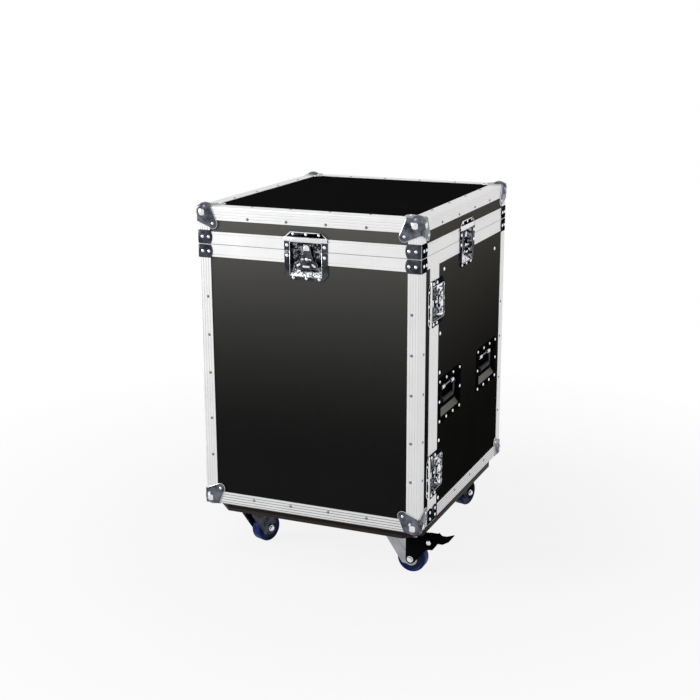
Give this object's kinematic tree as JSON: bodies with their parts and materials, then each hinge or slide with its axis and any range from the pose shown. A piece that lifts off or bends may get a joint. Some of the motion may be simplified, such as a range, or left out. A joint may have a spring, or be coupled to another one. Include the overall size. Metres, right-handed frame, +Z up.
{
  "type": "combination rack case",
  "caption": "Rolling plywood rack case with aluminium edges, lift-off lid and front cover, recessed latches and handles, sloped mixer rails and swivel castors.",
  "frame": {"origin": "on the floor under the middle of the case", "axes": "+Z up, front cover towards -Y, +X to the right as seen from the front"},
  "size_m": [0.601, 0.598, 0.8123],
  "materials": {
    "laminate": "black laminated plywood, satin",
    "edge": "bright anodised",
    "chrome": "polished",
    "zinc": "zinc plated",
    "dish": "black, satin",
    "grip": "black, matte",
    "rail": "zinc plated",
    "board": "dark paint, matte",
    "tread": "deep blue, satin",
    "pedal": "black"
  },
  "bodies": {
    "case": {"body_shell": "laminate", "body_edge_trim": "edge", "body_closing_frame": "edge", "base_board": "board", "front_rail_left": "rail", "front_rail_right": "rail", "top_rail_left": "rail", "top_rail_right": "rail", "latch_lid_rear_dish": "chrome", "latch_lid_right_dish": "chrome", "latch_lid_left_dish": "chrome", "latch_cover_right_upper_dish": "chrome", "latch_cover_right_lower_dish": "chrome", "latch_cover_left_upper_dish": "chrome", "latch_cover_left_lower_dish": "chrome", "handle_right_front_dish": "dish", "handle_right_rear_dish": "dish", "handle_left_front_dish": "dish", "handle_left_rear_dish": "dish", "castor_front_right_plate": "zinc", "castor_front_left_plate": "zinc", "castor_rear_right_plate": "zinc", "castor_rear_left_plate": "zinc"},
    "lid": {"lid_shell": "laminate", "lid_edge_trim": "edge", "lid_closing_frame": "edge"},
    "cover": {"cover_shell": "laminate", "cover_edge_trim": "edge", "cover_closing_frame": "edge", "latch_lid_front_dish": "chrome"},
    "latch_lid_front_cam": {"latch_lid_front_cam": "chrome"},
    "latch_lid_front_wing": {"latch_lid_front_wing": "chrome"},
    "latch_lid_rear_cam": {"latch_lid_rear_cam": "chrome"},
    "latch_lid_rear_wing": {"latch_lid_rear_wing": "chrome"},
    "latch_lid_right_cam": {"latch_lid_right_cam": "chrome"},
    "latch_lid_right_wing": {"latch_lid_right_wing": "chrome"},
    "latch_lid_left_cam": {"latch_lid_left_cam": "chrome"},
    "latch_lid_left_wing": {"latch_lid_left_wing": "chrome"},
    "latch_cover_right_upper_cam": {"latch_cover_right_upper_cam": "chrome"},
    "latch_cover_right_upper_wing": {"latch_cover_right_upper_wing": "chrome"},
    "latch_cover_right_lower_cam": {"latch_cover_right_lower_cam": "chrome"},
    "latch_cover_right_lower_wing": {"latch_cover_right_lower_wing": "chrome"},
    "latch_cover_left_upper_cam": {"latch_cover_left_upper_cam": "chrome"},
    "latch_cover_left_upper_wing": {"latch_cover_left_upper_wing": "chrome"},
    "latch_cover_left_lower_cam": {"latch_cover_left_lower_cam": "chrome"},
    "latch_cover_left_lower_wing": {"latch_cover_left_lower_wing": "chrome"},
    "handle_right_front_bail": {"handle_right_front_bail": "grip"},
    "handle_right_rear_bail": {"handle_right_rear_bail": "grip"},
    "handle_left_front_bail": {"handle_left_front_bail": "grip"},
    "handle_left_rear_bail": {"handle_left_rear_bail": "grip"},
    "castor_front_right_fork": {"castor_front_right_fork": "zinc"},
    "castor_front_right_wheel": {"castor_front_right_wheel": "tread"},
    "castor_front_right_pedal": {"castor_front_right_pedal": "pedal"},
    "castor_front_left_fork": {"castor_front_left_fork": "zinc"},
    "castor_front_left_wheel": {"castor_front_left_wheel": "tread"},
    "castor_rear_right_fork": {"castor_rear_right_fork": "zinc"},
    "castor_rear_right_wheel": {"castor_rear_right_wheel": "tread"},
    "castor_rear_left_fork": {"castor_rear_left_fork": "zinc"},
    "castor_rear_left_wheel": {"castor_rear_left_wheel": "tread"},
    "castor_rear_left_pedal": {"castor_rear_left_pedal": "pedal"}
  },
  "joints": [
    {"name": "lid_lift", "type": "slide", "parent": "case", "child": "lid", "axis": [0, 0, 1], "range_m": [0, 0.12]},
    {"name": "cover_pull", "type": "slide", "parent": "case", "child": "cover", "axis": [0, -1, 0], "range_m": [0, 0.12]},
    {"name": "latch_lid_front_twist", "type": "hinge", "parent": "cover", "child": "latch_lid_front_cam", "pos_m": [0, -0.2887, 0.7053], "axis": [0, -1, 0], "range_deg": [0, 90]},
    {"name": "latch_lid_front_fold", "type": "hinge", "parent": "latch_lid_front_cam", "child": "latch_lid_front_wing", "pos_m": [0, -0.2907, 0.7053], "axis": [-1, 0, 0], "range_deg": [0, 90]},
    {"name": "latch_lid_rear_twist", "type": "hinge", "parent": "case", "child": "latch_lid_rear_cam", "pos_m": [0, 0.2887, 0.7053], "axis": [0, 1, 0], "range_deg": [0, 90]},
    {"name": "latch_lid_rear_fold", "type": "hinge", "parent": "latch_lid_rear_cam", "child": "latch_lid_rear_wing", "pos_m": [0, 0.2907, 0.7053], "axis": [1, 0, 0], "range_deg": [0, 90]},
    {"name": "latch_lid_right_twist", "type": "hinge", "parent": "case", "child": "latch_lid_right_cam", "pos_m": [0.2542, 0, 0.7053], "axis": [1, 0, 0], "range_deg": [0, 90]},
    {"name": "latch_lid_right_fold", "type": "hinge", "parent": "latch_lid_right_cam", "child": "latch_lid_right_wing", "pos_m": [0.2562, 0, 0.7053], "axis": [0, -1, 0], "range_deg": [0, 90]},
    {"name": "latch_lid_left_twist", "type": "hinge", "parent": "case", "child": "latch_lid_left_cam", "pos_m": [-0.2542, 0, 0.7053], "axis": [-1, 0, 0], "range_deg": [0, 90]},
    {"name": "latch_lid_left_fold", "type": "hinge", "parent": "latch_lid_left_cam", "child": "latch_lid_left_wing", "pos_m": [-0.2562, 0, 0.7053], "axis": [0, 1, 0], "range_deg": [0, 90]},
    {"name": "latch_cover_right_upper_twist", "type": "hinge", "parent": "case", "child": "latch_cover_right_upper_cam", "pos_m": [0.2542, -0.192, 0.6158], "axis": [1, 0, 0], "range_deg": [0, 90]},
    {"name": "latch_cover_right_upper_fold", "type": "hinge", "parent": "latch_cover_right_upper_cam", "child": "latch_cover_right_upper_wing", "pos_m": [0.2562, -0.192, 0.6158], "axis": [0, 0, -1], "range_deg": [0, 90]},
    {"name": "latch_cover_right_lower_twist", "type": "hinge", "parent": "case", "child": "latch_cover_right_lower_cam", "pos_m": [0.2542, -0.192, 0.2338], "axis": [1, 0, 0], "range_deg": [0, 90]},
    {"name": "latch_cover_right_lower_fold", "type": "hinge", "parent": "latch_cover_right_lower_cam", "child": "latch_cover_right_lower_wing", "pos_m": [0.2562, -0.192, 0.2338], "axis": [0, 0, -1], "range_deg": [0, 90]},
    {"name": "latch_cover_left_upper_twist", "type": "hinge", "parent": "case", "child": "latch_cover_left_upper_cam", "pos_m": [-0.2542, -0.192, 0.6158], "axis": [-1, 0, 0], "range_deg": [0, 90]},
    {"name": "latch_cover_left_upper_fold", "type": "hinge", "parent": "latch_cover_left_upper_cam", "child": "latch_cover_left_upper_wing", "pos_m": [-0.2562, -0.192, 0.6158], "axis": [0, 0, 1], "range_deg": [0, 90]},
    {"name": "latch_cover_left_lower_twist", "type": "hinge", "parent": "case", "child": "latch_cover_left_lower_cam", "pos_m": [-0.2542, -0.192, 0.2338], "axis": [-1, 0, 0], "range_deg": [0, 90]},
    {"name": "latch_cover_left_lower_fold", "type": "hinge", "parent": "latch_cover_left_lower_cam", "child": "latch_cover_left_lower_wing", "pos_m": [-0.2562, -0.192, 0.2338], "axis": [0, 0, 1], "range_deg": [0, 90]},
    {"name": "handle_right_front_swing", "type": "hinge", "parent": "case", "child": "handle_right_front_bail", "pos_m": [0.25, -0.1015, 0.4123], "axis": [0, -1, 0], "range_deg": [0, 90]},
    {"name": "handle_right_rear_swing", "type": "hinge", "parent": "case", "child": "handle_right_rear_bail", "pos_m": [0.25, 0.1675, 0.4123], "axis": [0, -1, 0], "range_deg": [0, 90]},
    {"name": "handle_left_front_swing", "type": "hinge", "parent": "case", "child": "handle_left_front_bail", "pos_m": [-0.25, -0.1015, 0.4123], "axis": [0, 1, 0], "range_deg": [0, 90]},
    {"name": "handle_left_rear_swing", "type": "hinge", "parent": "case", "child": "handle_left_rear_bail", "pos_m": [-0.25, 0.1675, 0.4123], "axis": [0, 1, 0], "range_deg": [0, 90]},
    {"name": "castor_front_right_swivel", "type": "hinge", "parent": "case", "child": "castor_front_right_fork", "pos_m": [0.1805, -0.1985, 0.0909], "axis": [0, 0, 1], "continuous": true},
    {"name": "castor_front_right_roll", "type": "hinge", "parent": "castor_front_right_fork", "child": "castor_front_right_wheel", "pos_m": [0.211, -0.1985, 0.0325], "axis": [0, 1, 0], "continuous": true},
    {"name": "castor_front_right_brake", "type": "hinge", "parent": "castor_front_right_fork", "child": "castor_front_right_pedal", "pos_m": [0.2535, -0.1985, 0.078], "axis": [0, 1, 0], "range_deg": [0, 12]},
    {"name": "castor_front_left_swivel", "type": "hinge", "parent": "case", "child": "castor_front_left_fork", "pos_m": [-0.1805, -0.1985, 0.0909], "axis": [0, 0, 1], "continuous": true},
    {"name": "castor_front_left_roll", "type": "hinge", "parent": "castor_front_left_fork", "child": "castor_front_left_wheel", "pos_m": [-0.17007, -0.16984, 0.0325], "axis": [-0.9397, 0.342, 0], "continuous": true},
    {"name": "castor_rear_right_swivel", "type": "hinge", "parent": "case", "child": "castor_rear_right_fork", "pos_m": [0.1805, 0.1985, 0.0909], "axis": [0, 0, 1], "continuous": true},
    {"name": "castor_rear_right_roll", "type": "hinge", "parent": "castor_rear_right_fork", "child": "castor_rear_right_wheel", "pos_m": [0.18788, 0.22809, 0.0325], "axis": [-0.9703, 0.2419, 0], "continuous": true},
    {"name": "castor_rear_left_swivel", "type": "hinge", "parent": "case", "child": "castor_rear_left_fork", "pos_m": [-0.1805, 0.1985, 0.0909], "axis": [0, 0, 1], "continuous": true},
    {"name": "castor_rear_left_roll", "type": "hinge", "parent": "castor_rear_left_fork", "child": "castor_rear_left_wheel", "pos_m": [-0.211, 0.1985, 0.0325], "axis": [0, -1, 0], "continuous": true},
    {"name": "castor_rear_left_brake", "type": "hinge", "parent": "castor_rear_left_fork", "child": "castor_rear_left_pedal", "pos_m": [-0.2535, 0.1985, 0.078], "axis": [0, -1, 0], "range_deg": [0, 12]}
  ]
}
